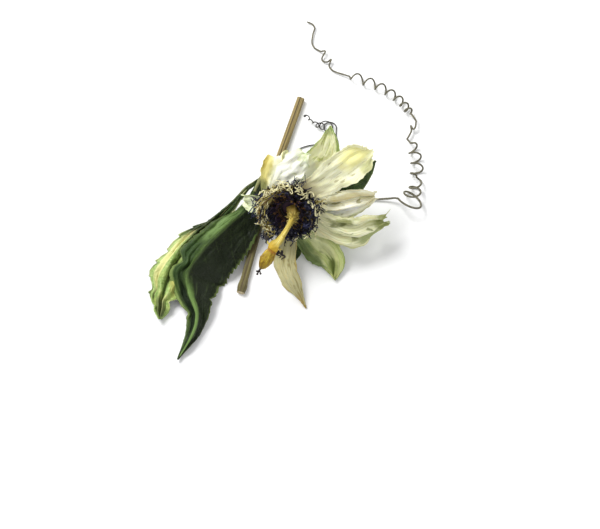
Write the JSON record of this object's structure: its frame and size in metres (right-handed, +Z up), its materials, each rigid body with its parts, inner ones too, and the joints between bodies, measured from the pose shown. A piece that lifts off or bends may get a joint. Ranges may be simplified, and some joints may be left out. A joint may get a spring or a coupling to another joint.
{
  "type": "dried passion flower on its vine",
  "caption": "Dried passion flower with cream tepals and a dark fringed crown, on a cut vine with a folded leaf and curling tendrils.",
  "frame": {"origin": "on the flat strip under the vine, a little below the joint that carries the leaf, flower and tendril", "axes": "+Z up from the surface the sprig lies on, +Y along the surface towards the vine's upper end, +X towards the coiled tendril"},
  "size_m": [0.0916, 0.1189, 0.0344],
  "materials": {
    "vine": "matte, ridged",
    "stalk": "matte",
    "leaf": "matte, dried",
    "bract": "matte, dried",
    "petal": "matte, dried",
    "sepal": "matte, dried",
    "cup": "matte",
    "corona": "matte",
    "corona_throat": "matte",
    "column": "satin",
    "ovary": "satin",
    "style": "matte",
    "anther": "matte",
    "tendril": "matte"
  },
  "bodies": {
    "root": {"vine_stem": "vine", "flower_stalk": "stalk", "floral_cup": "cup", "petal_1": "petal", "petal_2": "petal", "petal_3": "petal", "petal_4": "petal", "petal_5": "petal", "sepal_1": "sepal", "sepal_2": "sepal", "sepal_3": "sepal", "sepal_4": "sepal", "sepal_5": "sepal", "bract_1": "bract", "bract_2": "bract", "bract_3": "bract", "corona_outer": "corona", "corona_inner": "corona_throat", "column": "column", "ovary": "ovary", "styles": "style", "anther_1": "anther", "anther_2": "anther", "anther_3": "anther", "anther_4": "anther", "anther_5": "anther", "leaf": "leaf", "tendril": "tendril", "tendril_small": "tendril"}
  },
  "joints": []
}
